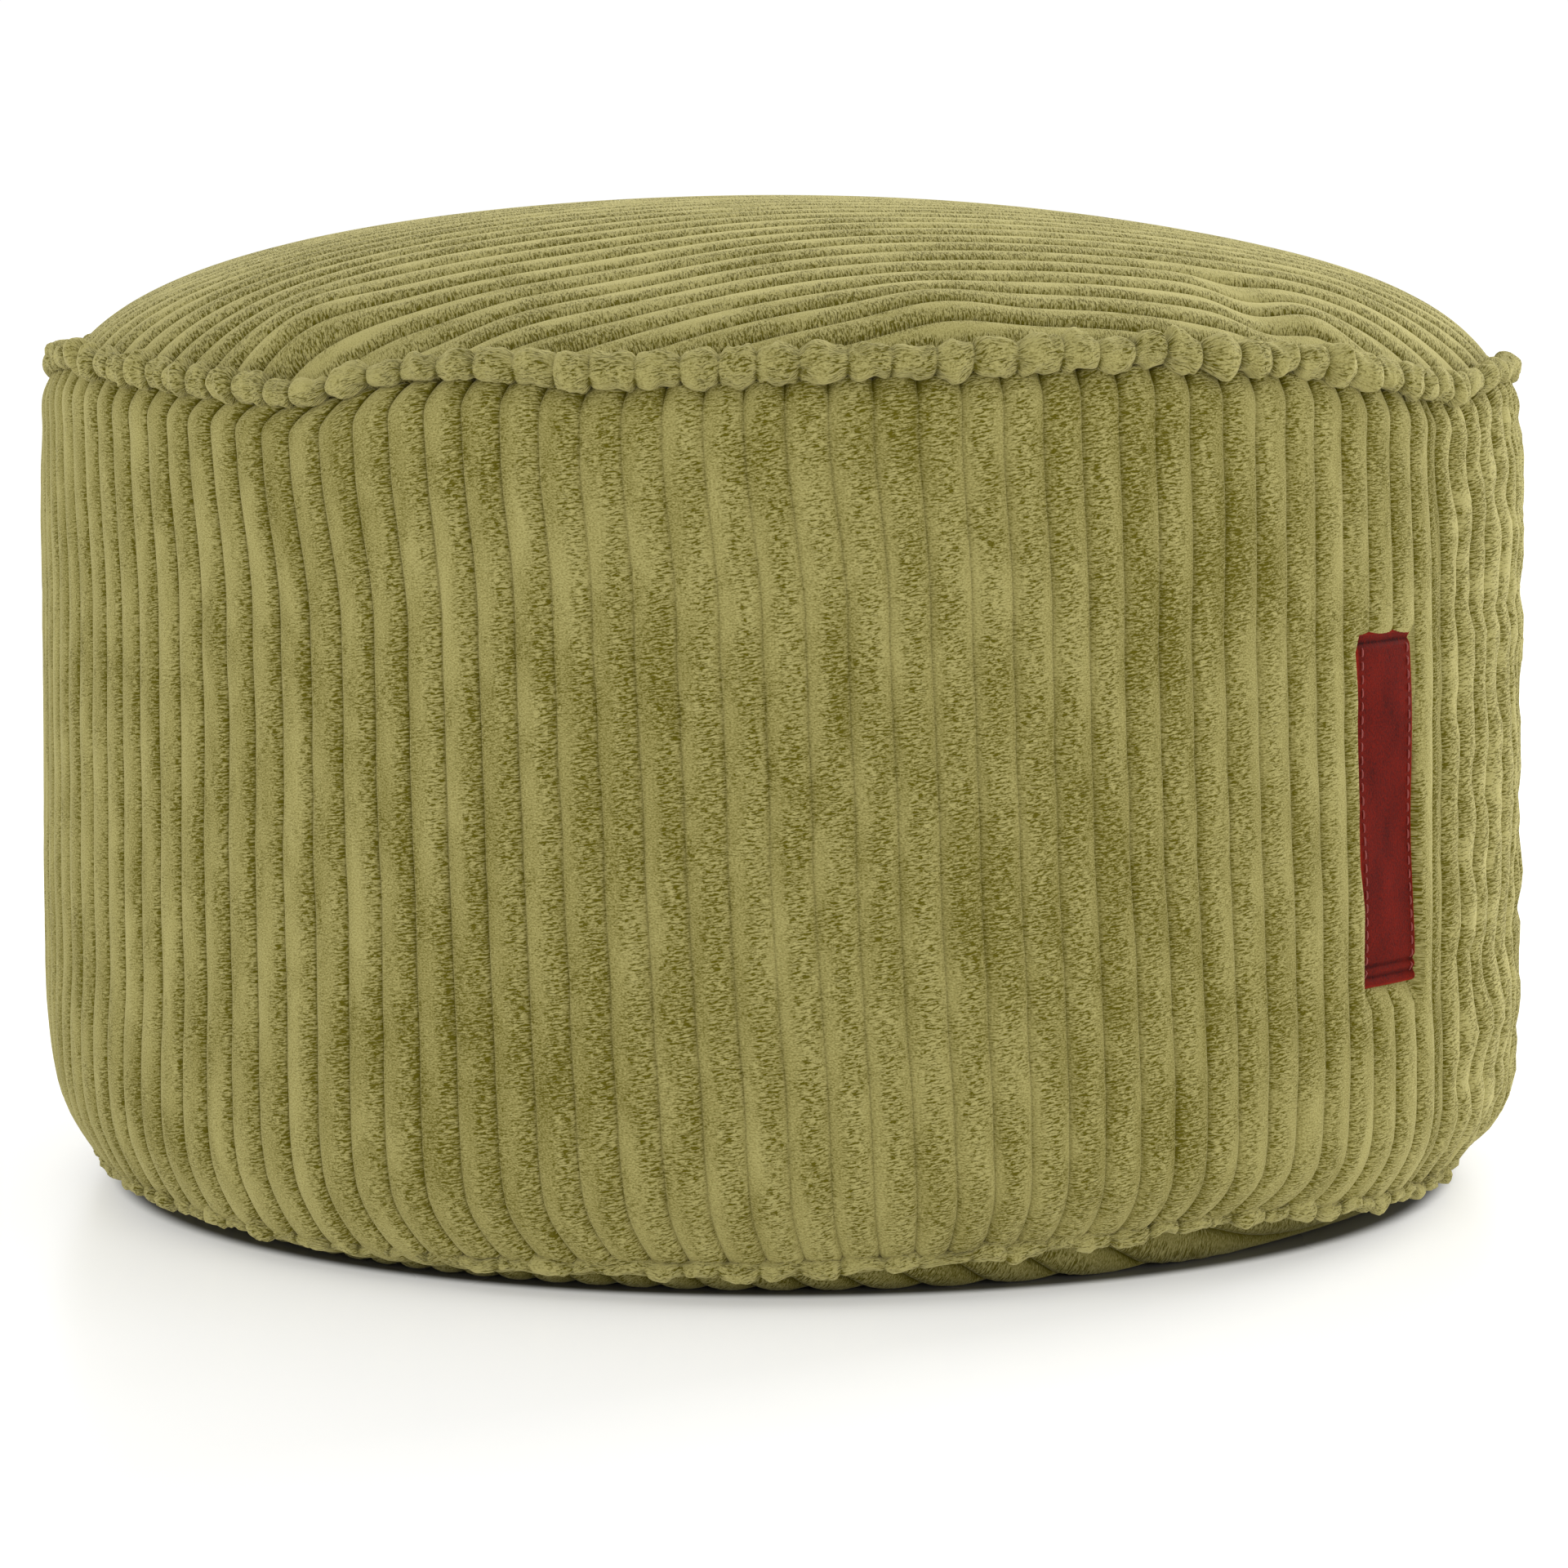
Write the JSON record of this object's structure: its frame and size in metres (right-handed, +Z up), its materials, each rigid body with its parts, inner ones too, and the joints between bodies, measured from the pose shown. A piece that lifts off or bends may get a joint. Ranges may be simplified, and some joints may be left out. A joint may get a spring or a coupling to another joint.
{
  "type": "bean bag footstool",
  "caption": "Round drum-shaped bean bag footstool in wide-wale corduroy, with a domed top, a beaded top seam and a plain leather label on the side.",
  "frame": {"origin": "centre of the resting face on the floor", "axes": "+Z up along the drum's axis, -Y towards the front, +X to the right seen from the front; the label is on the front right"},
  "size_m": [0.5016, 0.5016, 0.3301],
  "materials": {
    "corduroy": "matte ribbed pile",
    "label_leather": "satin"
  },
  "bodies": {
    "root": {"side_band": "corduroy", "top_panel": "corduroy", "bottom_panel": "corduroy", "label": "label_leather"}
  },
  "joints": []
}
